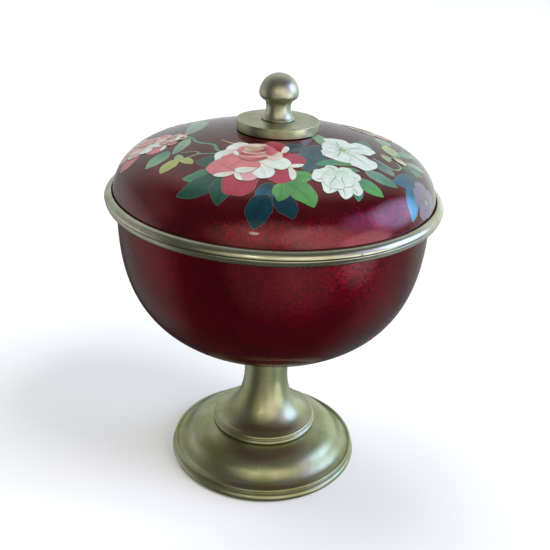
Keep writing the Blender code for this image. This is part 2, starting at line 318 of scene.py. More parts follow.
def run(start, end, steps):
    """Evenly spaced points from one place to another."""
    along = np.linspace(0, 1, steps + 1)[:, None]
    return np.asarray(start) * (1 - along) + np.asarray(end) * along


def eased(before, corner, after, rounding, steps):
    """A rounded corner: the quadratic curve that leaves one side and meets the next."""
    before, corner, after = (np.asarray(point, float) for point in (before, corner, after))
    start = corner + (before - corner) * rounding / np.linalg.norm(before - corner)
    end = corner + (after - corner) * rounding / np.linalg.norm(after - corner)
    return bent(start, corner, end, steps)


def bent(start, corner, end, steps):
    """The quadratic curve that leaves start towards a corner and reaches end from it."""
    along = np.linspace(0, 1, steps + 1)[:, None]
    start, corner, end = (np.asarray(point, float) for point in (start, corner, end))
    return start * (1 - along) ** 2 + 2 * corner * along * (1 - along) + end * along**2


def dome_curve(centre, half_width, half_height, end, steps):
    """A dome's section: an ellipse from its top, then a curve that meets the level of its centre flat."""
    sweep = settings().foot.sweep
    dome = ellipse_arc(centre, half_width, half_height, 90, math.degrees(sweep), steps)
    corner = (centre[0] + half_width / math.cos(sweep), centre[1])
    return joined(dome, bent(dome[-1], corner, (end, centre[1]), steps))


def joined(*stretches):
    """Stretches set end to end, without the points that repeat."""
    points = np.concatenate([np.atleast_2d(np.asarray(stretch, float)) for stretch in stretches])
    apart = np.linalg.norm(np.diff(points, axis=0), axis=1) > SAME_PLACE
    return points[np.concatenate([[True], apart])]


def on_axis(points):
    """The same points, with any that all but touches the axis moved onto it."""
    points[np.abs(points[:, 0]) < SAME_PLACE / 10, 0] = 0
    return points


def hollows(points, ring):
    """How deep in a groove each point lies: the section's concave turning, blurred along its length."""
    ahead = np.roll(points, -1, axis=0) - points
    behind = points - np.roll(points, 1, axis=0)
    cross = behind[:, 0] * ahead[:, 1] - behind[:, 1] * ahead[:, 0]
    turn = np.arctan2(cross, (behind * ahead).sum(axis=1))
    if not ring:
        turn[[0, -1]] = 0
    along = np.concatenate([[0], np.cumsum(np.linalg.norm(np.diff(points, axis=0), axis=1))])
    apart = along[:, None] - along[None, :]
    return (np.exp(-((apart / GROOVE_BLUR) ** 2)) * turn[None, :]).sum(axis=1)


class LidSkin:
    """The lid's two tangent arcs, and the way from flat places to places on its skin."""

    def __init__(self):
        sizes = settings().lid
        top = highest("lid")
        under_edge = sizes.wall * sizes.drop / sizes.shoulder
        self.wall = sizes.wall
        self.shoulder = sizes.shoulder
        self.centre_height = lowest("lid") + under_edge - sizes.drop
        self.centre_out = reach("lid") - math.sqrt(sizes.shoulder**2 - sizes.drop**2)
        rise = top - self.centre_height
        self.crown = (self.centre_out**2 + rise**2 - sizes.shoulder**2) / (2 * (rise - sizes.shoulder))
        self.crown_height = top - self.crown
        self.meet = math.atan2(self.centre_height - self.crown_height, self.centre_out)
        self.meet_length = self.crown * (math.pi / 2 - self.meet)
        self.foot = math.asin(sizes.drop / sizes.shoulder)
        self.edge_length = self.meet_length + self.shoulder * (self.meet - self.foot)

    def section(self, inset, steps):
        """The skin from the axis to the lid's edge, moved in by an inset."""
        meet, foot = math.degrees(self.meet), math.degrees(self.foot)
        crown = round_arc((0, self.crown_height), self.crown - inset, 90, meet, steps)
        shoulder = round_arc((self.centre_out, self.centre_height), self.shoulder - inset, meet, foot, steps)
        return joined(crown, shoulder)

    def place(self, flat, proud):
        """Flat (u, v) in millimetres to points on the skin, or proud of it.

        The distance from the middle is the length along the skin from the apex, and the direction is kept.
        In the last millimetres before the lid's edge, distances are drawn in so that none passes it.
        """
        border = settings().picture.border
        start = self.edge_length - settings().picture.margin - border
        along = np.hypot(flat[..., 0], flat[..., 1]) * MILLIMETRE
        drawn_in = start + border * (1 - np.exp(-(along - start) / border))
        along = np.where(along < start, along, drawn_in)
        way = np.arctan2(flat[..., 1], flat[..., 0])
        crown_turn = math.pi / 2 - along / self.crown
        shoulder_turn = self.meet - (along - self.meet_length) / self.shoulder
        on_crown = along < self.meet_length
        turn = np.where(on_crown, crown_turn, shoulder_turn)
        size = np.where(on_crown, self.crown, self.shoulder) + proud
        out = np.where(on_crown, 0, self.centre_out) + size * np.cos(turn)
        up = np.where(on_crown, self.crown_height, self.centre_height) + size * np.sin(turn)
        return np.stack([out * np.cos(way), out * np.sin(way), up], axis=-1)


def foot_section():
    """The foot's section, from the seat's middle down its outer side, round the hem and up inside."""
    size = settings().foot
    wide = settings().turning.arc_steps
    small = settings().turning.bead_steps
    radius, top = reach("foot"), highest("foot")
    groove_out = radius - size.groove_depth - size.bead
    groove_up = 2 * size.roll
    shelf_up = groove_up + size.groove_height + size.bead
    dome_top = shelf_up + size.dome_height
    ring_top = dome_top + 2 * size.lower_bead + 2 * size.upper_bead
    stem_up = ring_top + size.flare_height
    seat_up = top - size.seat_height
    lower_out = size.lower_ring - size.lower_bead
    upper_out = size.upper_ring - size.upper_bead
    dome_width = groove_out - size.shelf - lower_out
    bore = size.stem_radius - size.wall
    neck = lower_out - size.wall
    hem_in = radius - size.hem
    flare_width = upper_out - bore
    turn = 180 + math.degrees(math.acos((upper_out - neck) / flare_width))
    roof = top - size.seat_thickness
    dip = lowest("bowl") - settings().rims.gap / 4
    seat_width = size.seat_radius - size.stem_radius
    outside = joined(
        run((0, dip), (size.seat_radius, top), small),
        ellipse_arc((size.seat_radius, seat_up), seat_width, size.seat_height, 90, 180, small),
        run((size.stem_radius, seat_up), (size.stem_radius, stem_up), small),
        ellipse_arc((upper_out, stem_up), upper_out - size.stem_radius, size.flare_height, 180, 270, wide),
        round_arc((upper_out, ring_top - size.upper_bead), size.upper_bead, 90, -60, small),
        round_arc((lower_out, dome_top + size.lower_bead), size.lower_bead, 60, -90, small),
        dome_curve((lower_out, shelf_up), dome_width, size.dome_height, groove_out - size.bead, wide),
        round_arc((groove_out, shelf_up), size.bead, 165, -60, 2 * small),
        (groove_out, groove_up),
        round_arc((radius - size.roll, size.roll), size.roll, 70, -90, 2 * small),
    )
    inside = joined(
        eased((radius - size.roll, 0), (hem_in, 0), (hem_in, shelf_up), size.hem_round, small),
        dome_curve((neck, shelf_up - size.wall), dome_width, size.dome_height, hem_in, wide // 2)[::-1],
        ellipse_arc((upper_out, stem_up), flare_width, size.flare_height + size.wall, turn, 180, wide // 2),
        (bore, roof),
        (0, roof),
    )
    return joined(outside, inside)


def bowl_curve(radius, depth, mouth, steps):
    """Superellipse from the mouth to the bottom: radius and depth times the sine and cosine, each raised."""
    power = 2 / settings().bowl.squareness
    turn = np.linspace(0, math.pi / 2, steps + 1)
    out = radius * np.maximum(np.cos(turn), 0) ** power
    return on_axis(np.stack([out, mouth - depth * np.sin(turn) ** power], axis=-1))


def bowl_section():
    """The bowl's section: up its inside, over its lip and down its outer side."""
    size = settings().bowl
    steps = settings().turning.arc_steps
    small = settings().turning.bead_steps
    radius, top = reach("bowl"), highest("bowl")
    mouth = lowest("bowl") + size.depth
    bore = radius - size.wall
    outside = bowl_curve(radius, size.depth, mouth, 3 * steps)
    inside = bowl_curve(bore, size.depth - size.wall, mouth, 2 * steps)
    return joined(
        inside[::-1],
        eased((bore, mouth), (bore, top), (radius, top), size.lip, small),
        eased((bore, top), (radius, top), (radius, mouth), size.lip, small),
        outside,
    )


def bowl_rim_section():
    """The bowl rim's section, a closed loop: seam, apron outside the enamel, and the flat top's underside."""
    size = settings().rims
    small = settings().turning.bead_steps
    seam, apron_foot = highest("bowl_rim"), highest("bowl") - size.bowl_apron
    over = highest("bowl") + size.gap
    clear = reach("bowl") + size.gap
    bore = reach("bowl") - settings().bowl.wall
    out = reach("bowl_rim")
    centre = (clear, seam)
    edge = size.rounding
    return joined(
        eased((bore, seam), (out, seam), (out, apron_foot), edge, small),
        ellipse_arc(centre, out - clear, seam - apron_foot, *BOWL_APRON_ARC, 3 * small),
        eased((out, apron_foot), (clear, apron_foot), (clear, over), edge / 2, small),
        (clear, over),
        (bore, over),
        eased((bore, over), (bore, seam), (out, seam), edge / 2, small),
    )


def lid_rim_section():
    """The lid rim's section, a closed loop: apron, seam, and the lip that drops inside the bowl."""
    size = settings().rims
    small = settings().turning.bead_steps
    under = highest("bowl_rim") + size.gap
    seat = under + size.lid_base
    apron_top = seat + size.lid_apron
    clear = reach("lid") + size.gap
    out = reach("lid_rim")
    lip_out = reach("bowl") - settings().bowl.wall - size.lip_clearance
    lip_in = lip_out - size.lip_wall
    lip_end = under - size.lip_depth
    edge = size.rounding
    return joined(
        eased((clear, seat), (clear, apron_top), (out, apron_top), edge / 2, small),
        ellipse_arc((clear, under), out - clear, apron_top - under, *LID_APRON_ARC, 3 * small),
        eased((out, apron_top), (out, under), (lip_out, under), edge, small),
        (lip_out, under),
        eased((lip_out, under), (lip_out, lip_end), (lip_in, lip_end), edge, small),
        eased((lip_out, lip_end), (lip_in, lip_end), (lip_in, under), edge, small),
        (lip_in, seat),
        (clear, seat),
    )


def lid_section():
    """The lid's section: out along its skin, round its edge and back under it."""
    skin = LidSkin()
    steps = settings().turning.arc_steps
    outside = skin.section(0, 2 * steps)
    inside = skin.section(skin.wall, steps)
    return on_axis(joined(outside, inside[::-1]))


def plate_section():
    """The plate's section: a flat top, a rounded edge, an upright side and an underside that fits the lid."""
    small = settings().turning.bead_steps
    edge = settings().knob.plate_round
    skin = LidSkin()
    top, radius = highest("knob_plate"), reach("knob_plate")
    turn = math.acos(radius / skin.crown)
    centre = (0, skin.crown_height + settings().rims.gap)
    under = round_arc(centre, skin.crown, math.degrees(turn), 90, 2 * small)
    low = under[0, 1]
    return on_axis(joined(
        run((0, top), (radius - 2 * edge, top), 2 * small),
        eased((0, top), (radius, top), (radius, low), edge, small),
        eased((radius, top), (radius, low), (0, low), edge / 2, small),
        under[1:],
    ))


def knob_section():
    """The knob's section: half a ball, its flatter underside, a cove, the waist and a spreading foot."""
    size = settings().knob
    wide = settings().turning.arc_steps
    small = settings().turning.bead_steps
    foot = lowest("knob")
    waist = foot + size.neck_height
    middle = waist + size.cove + size.under * math.sin(size.tuck)
    ball = round_arc((0, middle), size.ball, 90, 0, wide)
    under = ellipse_arc((0, middle), size.ball, size.under, 0, -math.degrees(size.tuck), small)
    cove_out = under[-1, 0]
    cove = ellipse_arc((cove_out, waist), cove_out - size.neck, size.cove, 90, 180, small)
    flare_end = 180 + math.degrees(math.asin(size.neck_height / size.flare_height))
    flare = ellipse_arc(
        (size.neck + size.flare_width, waist), size.flare_width, size.flare_height, 180, flare_end, small
    )
    return on_axis(joined(ball, under, cove, flare, (0, foot)))


# Meshes

NO_TRIANGLES = np.zeros((0, 3), int)
ATTRIBUTE_FIELDS = {"FLOAT": "value", "FLOAT_COLOR": "color", "FLOAT_VECTOR": "vector"}


def put_mesh(name, vertices, quads, triangles):
    """A mesh object at the origin, from arrays of corners and of quads and triangles."""
    corners = np.concatenate([quads.ravel(), triangles.ravel()])
    sizes = np.concatenate([np.full(len(quads), 4), np.full(len(triangles), 3)])
    mesh = bpy.data.meshes.new(name)
    mesh.vertices.add(len(vertices))
    mesh.vertices.foreach_set("co", vertices.astype(np.float32).ravel())
    mesh.loops.add(len(corners))
    mesh.loops.foreach_set("vertex_index", corners.astype(np.int32))
    mesh.polygons.add(len(sizes))
    mesh.polygons.foreach_set("loop_start", (np.cumsum(sizes) - sizes).astype(np.int32))
    mesh.update(calc_edges=True)
    mesh.validate()
    piece = bpy.data.objects.new(name, mesh)
    bpy.context.scene.collection.objects.link(piece)
    return piece


def turned(name, section, ring=False):
    """Carries a half section round Z: (r, z) goes to (r cos a, r sin a, z), and poles are single points."""
    segments = settings().turning.segments
    turn = np.linspace(0, 2 * math.pi, segments, endpoint=False)
    body = section if ring else section[1:-1]
    rows = len(body)
    out = body[:, 0, None]
    up = np.repeat(body[:, 1, None], segments, axis=1)
    points = np.stack([out * np.cos(turn), out * np.sin(turn), up], axis=-1).reshape(-1, 3)
    column = np.arange(segments)
    beside = np.roll(column, -1)
    row = np.arange(rows if ring else rows - 1)[:, None]
    below = (row + 1) % rows
    here, there = row * segments, below * segments
    quads = np.stack([here + column, there + column, there + beside, here + beside], axis=-1).reshape(-1, 4)
    triangles = NO_TRIANGLES
    depth = hollows(section, ring)
    depth = np.repeat(depth if ring else depth[1:-1], segments)
    if not ring:
        first, last = len(points), len(points) + 1
        ends = np.array([[0, 0, section[0, 1]], [0, 0, section[-1, 1]]])
        points = np.concatenate([points, ends])
        low = (rows - 1) * segments
        cap = np.stack([np.full(segments, first), column, beside], axis=-1)
        floor = np.stack([np.full(segments, last), low + beside, low + column], axis=-1)
        triangles = np.concatenate([cap, floor])
        depth = np.concatenate([depth, [0, 0]])
    piece = put_mesh(name, points, quads, triangles)
    keep(piece, "groove", "FLOAT", depth)
    piece.data.shade_smooth()
    return piece


def keep(piece, name, kind, values):
    """Stores a value for each point of a piece as a named attribute."""
    kept = piece.data.attributes.new(name, kind, "POINT")
    kept.data.foreach_set(ATTRIBUTE_FIELDS[kind], values.astype(np.float32).ravel())


def dress(piece):
    """Lets a piece ride with the bowl."""
    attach(piece, BODY)


def settle(piece, slot, *nodes):
    """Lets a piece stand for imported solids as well."""
    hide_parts(*nodes)
    dress(piece)


# The flower picture: tiles laid on the lid's skin, which is unrolled flat, in millimetres from its middle

TILE_PITCH = 0.9
TIP_GAP = 0.04
STEM_STEPS = 8
POLLEN_DOTS = 9
TILE_SHARPNESS = math.radians(40)


def blade(base, tip, width, bend=0.0, foot=0.6, nose=0.45, ruffle=0.0):
    """A petal or a leaf as a grid of flat points, and each point's place along and across it.

    Rows stand at half of one less a cosine along it, closer at both ends, and stop just short of them.
    The middle line is a parabola from base to tip, pushed sideways by the bend's share of its length.
    Half the width goes as the share along it to the power foot, times what is left to the power nose.
    """
    base, tip = np.asarray(base, float), np.asarray(tip, float)
    whole = np.linalg.norm(tip - base)
    ahead = (tip - base) / whole
    side = np.array([-ahead[1], ahead[0]])
    rows = max(8, int(whole / TILE_PITCH) + 3)
    columns = 2 * max(2, int(width / TILE_PITCH / 2)) + 1
    along = (1 - np.cos(np.linspace(TIP_GAP, math.pi - TIP_GAP, rows))) / 2
    across = np.linspace(-1, 1, columns)
    push = 4 * bend * whole * along * (1 - along)
    middle = base + ahead * (along * whole)[:, None] + side * push[:, None]
    slope = ahead + side * (4 * bend * (1 - 2 * along))[:, None]
    normal = np.stack([-slope[:, 1], slope[:, 0]], axis=-1) / np.linalg.norm(slope, axis=1)[:, None]
    profile = along**foot * (1 - along) ** nose
    half = width / 2 * profile / profile.max()
    wave = 1 + ruffle * np.sin(5 * math.pi * along[:, None] + 1.7 * across[None, :])
    return band(middle, normal, half[:, None] * across * wave, along, across)


def band(middle, normal, offset, along, across):
    """Points offset sideways from a middle line, with each point's place along and across."""
    points = middle[:, None, :] + normal[:, None, :] * offset[..., None]
    shape = offset.shape
    return points, np.broadcast_to(along[:, None], shape), np.broadcast_to(across, shape)


def strand(stops, width, taper=0.5):
    """A stem as a grid of flat points: a smooth line through its stops, widest at the first one.

    Between two stops the line is the cubic whose slopes are half the way between each stop's neighbours.
    """
    stops = np.asarray(stops, float)
    ends = np.concatenate([[2 * stops[0] - stops[1]], stops, [2 * stops[-1] - stops[-2]]])
    way = np.linspace(0, 1, STEM_STEPS + 1)[:-1, None, None]
    before, start, end, after = ends[:-3], ends[1:-2], ends[2:-1], ends[3:]
    third = 1.5 * (start - end) + (after - before) / 2
    second = before - 2.5 * start + 2 * end - after / 2
    cubic = start + way * ((end - before) / 2 + way * (second + way * third))
    line = np.concatenate([cubic.transpose(1, 0, 2).reshape(-1, 2), stops[-1:]])
    slope = np.gradient(line, axis=0)
    normal = np.stack([-slope[:, 1], slope[:, 0]], axis=-1) / np.linalg.norm(slope, axis=1)[:, None]
    along = np.linspace(0, 1, len(line))
    half = width / 2 * (1 - taper * along)
    across = np.linspace(-1, 1, 3)
    return band(line, normal, half[:, None] * across, along, across)


def polar(centre, degrees, distance):
    """The place at an angle and a distance from a centre. 0 degrees points to +u."""
    turn = math.radians(degrees)
    return np.array([centre[0] + distance * math.cos(turn), centre[1] + distance * math.sin(turn)])


class Picture:
    """Tiles of coloured enamel in the order in which they overlap, each with its wire."""

    def __init__(self, skin):
        self.skin = skin
        self.tiles = []

    def lay(self, group, shape, inner, outer, shade=0.0):
        """Adds a tile, in one colour at its base and another at its tip, and darker along its middle."""
        points, along, across = shape
        ease = (along * along * (3 - 2 * along))[..., None]
        colours = settings().colours
        tint = np.asarray(getattr(colours, inner)) * (1 - ease) + np.asarray(getattr(colours, outer)) * ease
        tint = tint * (1 - shade * np.exp(-((across / 0.35) ** 2)))[..., None]
        box = np.concatenate([points.min(axis=(0, 1)), points.max(axis=(0, 1))])
        level = self.level_over(points, box)
        self.tiles.append({
            "group": group, "points": points, "tint": tint, "along": along, "across": across, "box": box,
            "level": level,
        })

    def level_over(self, points, box):
        """One level more than the highest earlier tile that comes within a tile's pitch of these points."""
        level = 0
        mine = points.reshape(-1, 2)
        for tile in self.tiles:
            other = tile["box"]
            apart = max(box[0] - other[2], other[0] - box[2], box[1] - other[3], other[1] - box[3])
            if tile["level"] < level or apart > TILE_PITCH:
                continue
            theirs = tile["points"].reshape(-1, 2)
            nearest = ((mine[:, None, :] - theirs[None, :, :]) ** 2).sum(axis=-1).min()
            if nearest < TILE_PITCH**2:
                level = tile["level"] + 1
        return level

    def proud(self, tile):
        """How far a tile's top stands over the lid's skin."""
        return settings().picture.lift + tile["level"] * settings().picture.step

    def tile_mesh(self, tile):
        """One closed tile: its top on the skin, a copy of it sunk into the wall, and sides between them."""
        rows, columns = tile["points"].shape[:2]
        flat = tile["points"].reshape(-1, 2)
        top = self.skin.place(flat, self.proud(tile))
        under = self.skin.place(flat, -settings().picture.sunk)
        number = np.arange(rows * columns).reshape(rows, columns)
        face = np.stack([number[:-1, :-1], number[1:, :-1], number[1:, 1:], number[:-1, 1:]], axis=-1)
        face = face.reshape(-1, 4)
        rim = border(number)
        after = np.roll(rim, -1)
        low = rows * columns
        sides = np.stack([rim, rim + low, after + low, after], axis=-1)
        return np.concatenate([top, under]), np.concatenate([face, face[:, ::-1] + low, sides])

    def wire_mesh(self, tile):
        """The wire round a tile: a square loop along its border, half inside and half outside."""
        rim = border(np.arange(tile["along"].size).reshape(tile["along"].shape))
        line = tile["points"].reshape(-1, 2)[rim]
        slope = np.roll(line, -1, axis=0) - np.roll(line, 1, axis=0)
        size = np.maximum(np.linalg.norm(slope, axis=1), 1e-6)[:, None]
        out = np.stack([slope[:, 1], -slope[:, 0]], axis=-1) / size * settings().picture.wire / MILLIMETRE / 2
        high = self.proud(tile) + settings().picture.wire_rise
        low = -settings().picture.sunk / 2
        corners = ((1, high), (-1, high), (-1, low), (1, low))
        loops = [self.skin.place(line + side * out, up) for side, up in corners]
        steps = len(line)
        number = np.arange(4 * steps).reshape(4, steps)
        beside = np.roll(number, -1, axis=0)
        faces = np.stack([number, np.roll(number, -1, axis=1), np.roll(beside, -1, axis=1), beside], axis=-1)
        return np.concatenate(loops), faces.reshape(-1, 4)

    def build(self, name, group):
        """One piece from all tiles of a group, with its colours and its places along and across each tile."""
        tiles = [tile for tile in self.tiles if tile["group"] == group]
        piece = put_mesh(name, *stacked([self.tile_mesh(tile) for tile in tiles]), NO_TRIANGLES)
        tint, place = [], []
        for mark, tile in enumerate(tiles):
            marks = np.full(tile["along"].size, mark)
            places = np.stack([tile["along"].ravel(), tile["across"].ravel(), marks], axis=-1)
            place.append(np.tile(places, (2, 1)))
            tint.append(np.tile(tile["tint"].reshape(-1, 3), (2, 1)))
        tint = np.concatenate(tint)
        keep(piece, "tint", "FLOAT_COLOR", np.concatenate([tint, np.ones((len(tint), 1))], axis=1))
        keep(piece, "tile_place", "FLOAT_VECTOR", np.concatenate(place))
        finish_tiles(piece)
        return piece

    def build_wires(self, name):
        """One piece from the wires of all tiles."""
        piece = put_mesh(name, *stacked([self.wire_mesh(tile) for tile in self.tiles]), NO_TRIANGLES)
        finish_tiles(piece)
        return piece


def border(number):
    """The numbers round the edge of a grid, in the order that keeps the grid on the left."""
    return np.concatenate([number[:-1, 0], number[-1, :-1], number[:0:-1, -1], number[0, :0:-1]])


def stacked(meshes):
    """Several meshes' points and faces in one pair of arrays."""
    starts = np.cumsum([0] + [len(points) for points, _ in meshes[:-1]])
    points = np.concatenate([points for points, _ in meshes])
    return points, np.concatenate([faces + start for start, (_, faces) in zip(starts, meshes)])


def finish_tiles(piece):
    """Smooth on the flat of each tile, sharp at its edge."""
    piece.data.shade_smooth()
    piece.data.set_sharp_from_angle(angle=TILE_SHARPNESS)


def turned_edge(base, tip, width, way):
    """A thin crescent along one corner of a petal's tip, on its left side for 1 and on its right for -1."""
    ahead = np.asarray(tip) - np.asarray(base)
    side = np.array([-ahead[1], ahead[0]]) / np.linalg.norm(ahead) * width / 2 * way
    start = base + 0.50 * ahead + 0.93 * side
    end = base + 0.99 * ahead + 0.20 * side
    return blade(start, end, 0.24 * width, 0.10 * way, foot=0.9, nose=0.6)


def lay_leaves(picture, rows):
    """Leaves: colour at the base, colour at the tip, base, tip, width and bend of each."""
    for inner, outer, base, tip, width, bend in rows:
        shape = blade(base, tip, width, bend, foot=0.7, nose=0.85, ruffle=0.05)
        picture.lay("leaves", shape, inner, outer, shade=0.12)


def lay_rose(picture, centre, size, turn, hues):
    """A full rose: open petals, cupped petals over them, turned edges, and folds across its heart."""
    for degrees, start, end, width, inner, outer, edge in ROSE_PETALS:
        way = degrees + turn
        base = polar(centre, way, start * size)
        tip = polar(centre, way, end * size)
        shape = blade(base, tip, width * size, 0.0, foot=0.45, nose=0.30, ruffle=0.035)
        picture.lay("roses", shape, hues[inner], hues[outer])
        if edge:
            picture.lay("roses", turned_edge(base, tip, width * size, edge), hues["edge"], hues["light"])
    for step, (reach_out, half, width, bend, inner, outer) in enumerate(ROSE_FOLDS):
        middle = polar(centre, 90 + turn, reach_out * size)
        lean = turn + 4 * (step % 3) - 6
        left = polar(middle, 180 + lean, half * size)
        right = polar(middle, lean, half * size)
        fold = blade(left, right, width * size, bend, foot=0.6, nose=0.6)
        picture.lay("roses", fold, hues[inner], hues[outer])


def lay_open_flower(picture, centre, size, turn, inner, outer, petals):
    """An open flower seen from above: broad petals round a small disc with pollen dots."""
    for degrees, end, width in petals:
        way = degrees + turn
        base, tip = polar(centre, way, 0.8 * size), polar(centre, way, end * size)
        shape = blade(base, tip, width * size, 0.0, foot=0.50, nose=0.28, ruffle=0.09)
        picture.lay("flowers", shape, inner, outer)
        # Painted reflection: a dark line along each petal stands for an inner wire, coloured as dark as it
        # looks from what it reflects
        low, high = polar(centre, way + 5, 3.6 * size), polar(centre, way + 3, end * size * 0.72)
        picture.lay("flowers", blade(low, high, 0.35 * size, 0.04), "line", inner)
    disc = blade(polar(centre, 180, 1.6 * size), polar(centre, 0, 1.6 * size), 2.6 * size, 0.0, 0.5, 0.5)
    picture.lay("flowers", disc, "pale_green", "lime")
    for dot in range(POLLEN_DOTS):
        place = polar(centre, 360 * dot / POLLEN_DOTS + 12, 2.7 * size)
        shape = blade(place - [0.3 * size, 0], place + [0.3 * size, 0], 0.55 * size, 0.0, 0.5, 0.5)
        picture.lay("flowers", shape, "lime", "beige")


def lay_half_open(picture, base, size, inner, outer):
    """A half-open flower seen from its side: petals fanned from one base, the front one last."""
    for degrees, start, end, width, bend in CUP_PETALS:
        root, tip = polar(base, degrees, start * size), polar(base, degrees, end * size)
        shape = blade(root, tip, width * size, bend, foot=0.50, nose=0.55, ruffle=0.09)
        picture.lay("flowers", shape, inner, outer)
        # Painted reflection: a dark line along each petal stands for an inner wire, coloured as dark as it
        # looks from what it reflects
        low, high = polar(base, degrees + 4, end * size * 0.35), polar(base, degrees + 1, end * size * 0.9)
        picture.lay("flowers", blade(low, high, 0.3 * size, -bend), "line", inner)


def lay_bud(picture, base, tip, width, inner, outer):
    """A closed bud: an inner petal, a wrap on each side of it and two small sepals at its foot."""
    base, tip = np.asarray(base, float), np.asarray(tip, float)
    along = tip - base
    side = np.array([-along[1], along[0]]) / np.linalg.norm(along) * width / 4
    picture.lay("buds", blade(base, tip, width, 0.0, 0.5, 0.7), inner, outer)
    for way, lean in ((1, 0.12), (-1, -0.12)):
        wrap = blade(base, tip - 0.15 * along + way * side, width * 0.42, lean, 0.6, 0.8)
        sepal = blade(base, base + 0.45 * along + 1.9 * way * side, width * 0.22, lean, 0.6, 0.9)
        picture.lay("buds", wrap, inner, outer)
        picture.lay("buds", sepal, "dark_green", "pale_green")


# Leaves: inner and outer colour, base, tip, width, bend
LEAVES = (
    ("slate", "slate", (1.0, -25.0), (11.5, -22.0), 7.5, 0.08),
    ("slate", "slate_blue", (17.5, -17.5), (11.5, -41.5), 10.5, -0.05),
    ("slate_blue", "slate", (6.0, -29.0), (17.5, -36.0), 7.0, 0.05),
    ("pale_green", "grey_green", (12.5, -4.5), (20.0, -21.5), 6.0, 0.10),
    ("dark_green", "dark_green", (-16.0, -38.0), (-30.5, -33.0), 10.0, -0.10),
    ("dark_green", "sea_green", (-17.0, -40.0), (-34.5, -43.5), 9.5, 0.08),
    ("dark_green", "dark_green", (-17.5, -41.0), (-36.5, -52.0), 11.0, 0.12),
    ("dark_green", "dark_green", (-15.0, -43.0), (-20.5, -60.0), 9.5, -0.06),
    ("dark_green", "green", (-15.5, -45.5), (-11.5, -55.0), 6.0, 0.08),
    ("teal", "blue", (-1.5, -49.0), (-6.5, -59.5), 6.5, 0.05),
    ("teal", "slate_blue", (3.0, -40.5), (9.5, -45.0), 4.2, 0.08),
    ("teal", "teal", (-2.5, -56.0), (-7.0, -70.0), 9.6, -0.05),
    ("teal", "teal", (-0.5, -56.0), (7.5, -65.5), 8.2, 0.08),
    ("green", "bright_green", (4.0, -47.5), (15.0, -43.0), 7.6, 0.10),
    ("bright_green", "green", (2.5, -48.5), (1.5, -59.0), 7.0, 0.05),
    ("green", "bright_green", (3.5, -48.0), (14.5, -60.0), 9.8, 0.08),
    ("sea_green", "green", (15.0, -35.0), (31.0, -30.0), 4.2, 0.12),
    ("green", "sea_green", (24.5, -36.5), (32.0, -33.0), 3.4, 0.10),
    ("sea_green", "sea_green", (26.0, -38.0), (31.0, -52.5), 6.5, 0.06),
    ("sea_green", "bright_green", (30.0, -38.5), (41.0, -45.5), 7.4, -0.06),
    ("grey_green", "sea_green", (34.0, -31.0), (47.0, -36.5), 7.2, -0.05),
    ("slate", "grey_green", (36.0, -21.5), (46.0, -29.5), 6.4, 0.08),
    ("slate", "blue", (57.0, -21.0), (45.0, -34.5), 8.0, 0.06),
    ("blue", "light_blue", (53.5, -31.0), (58.0, -46.0), 7.6, -0.05),
    ("sea_green", "pale_green", (-43.0, -18.5), (-50.5, -30.0), 7.4, 0.06),
    ("lime", "lime", (-37.0, -28.5), (-43.5, -37.0), 6.0, -0.08),
    ("lime", "pale_green", (-36.5, -30.0), (-38.0, -24.0), 3.6, 0.05),
    ("lime", "lime", (-37.0, -28.5), (-31.5, -34.0), 4.0, 0.08),
    ("pale_green", "grey_green", (-36.0, -8.0), (-40.5, -23.0), 5.4, 0.06),
    ("grey_green", "pale_green", (-37.0, -3.0), (-36.5, 28.0), 8.5, -0.10),
    ("pale_green", "sea_green", (43.0, 15.0), (44.5, 1.5), 7.0, 0.10),
    ("sea_green", "grey_green", (50.0, 16.0), (36.0, 46.0), 6.0, -0.18),
    ("grey_green", "sea_green", (54.0, 30.0), (62.0, 44.0), 6.4, 0.05),
    ("sea_green", "grey_green", (51.0, -6.0), (60.5, 5.0), 5.6, 0.08),
    ("grey_green", "pale_green", (52.0, -12.0), (62.0, -9.0), 5.0, -0.06),
    ("sea_green", "dark_green", (37.0, -12.5), (36.0, 0.0), 5.2, 0.08),
    ("dark_green", "sea_green", (50.0, -20.0), (60.0, -17.0), 5.4, 0.06),
    ("sea_green", "dark_green", (-52.0, 42.0), (-44.0, 60.0), 7.0, 0.10),
    ("grey_green", "green", (-60.0, 24.0), (-72.0, 12.0), 6.5, 0.10),
    ("dark_green", "sea_green", (-34.0, 54.0), (-22.0, 64.0), 7.6, 0.08),
    ("sea_green", "grey_green", (-33.0, 50.0), (-20.0, 48.0), 6.4, -0.10),
    ("dark_green", "teal", (24.0, 52.0), (10.0, 60.0), 7.6, -0.08),
    ("sea_green", "slate_blue", (26.0, 48.0), (14.0, 42.0), 6.4, 0.10),
)

# Stems: colour, width at the first stop, how far it tapers to the last one, stops
STEMS = (
    ("sea_green", 1.3, 0.2, (
        (-17.5, -29.5), (-22.5, -25.0), (-24.5, -19.5), (-31.0, -15.0), (-34.0, -9.0), (-38.0, -3.0),
    )),
    ("sea_green", 0.9, 0.4, ((-20.0, -28.0), (-29.0, -26.5), (-31.0, -24.0), (-37.0, -23.0))),
    ("beige", 1.3, 0.7, ((-12.0, -21.0), (-17.0, -19.5), (-22.0, -15.0))),
    ("pale_green", 0.8, 0.5, ((-29.0, -26.0), (-33.5, -28.0), (-37.0, -28.5))),
    ("sea_green", 0.9, 0.4, ((44.0, -15.0), (50.0, -6.0), (53.5, 5.0), (57.0, 33.0))),
    ("pale_green", 0.8, 0.4, ((38.0, -19.0), (46.0, -23.5), (49.5, -20.0), (48.0, -15.0))),
    ("grey_green", 0.8, 0.4, ((43.0, 2.0), (46.0, -3.0), (52.0, -12.0), (57.0, -21.0))),
    ("grey_green", 0.9, 0.5, ((-37.0, 26.0), (-42.0, 38.0), (-34.0, 52.0), (-20.0, 57.0), (-4.0, 60.0))),
    ("grey_green", 0.9, 0.5, ((44.0, 44.0), (34.0, 54.0), (20.0, 55.0), (4.0, 60.0))),
)

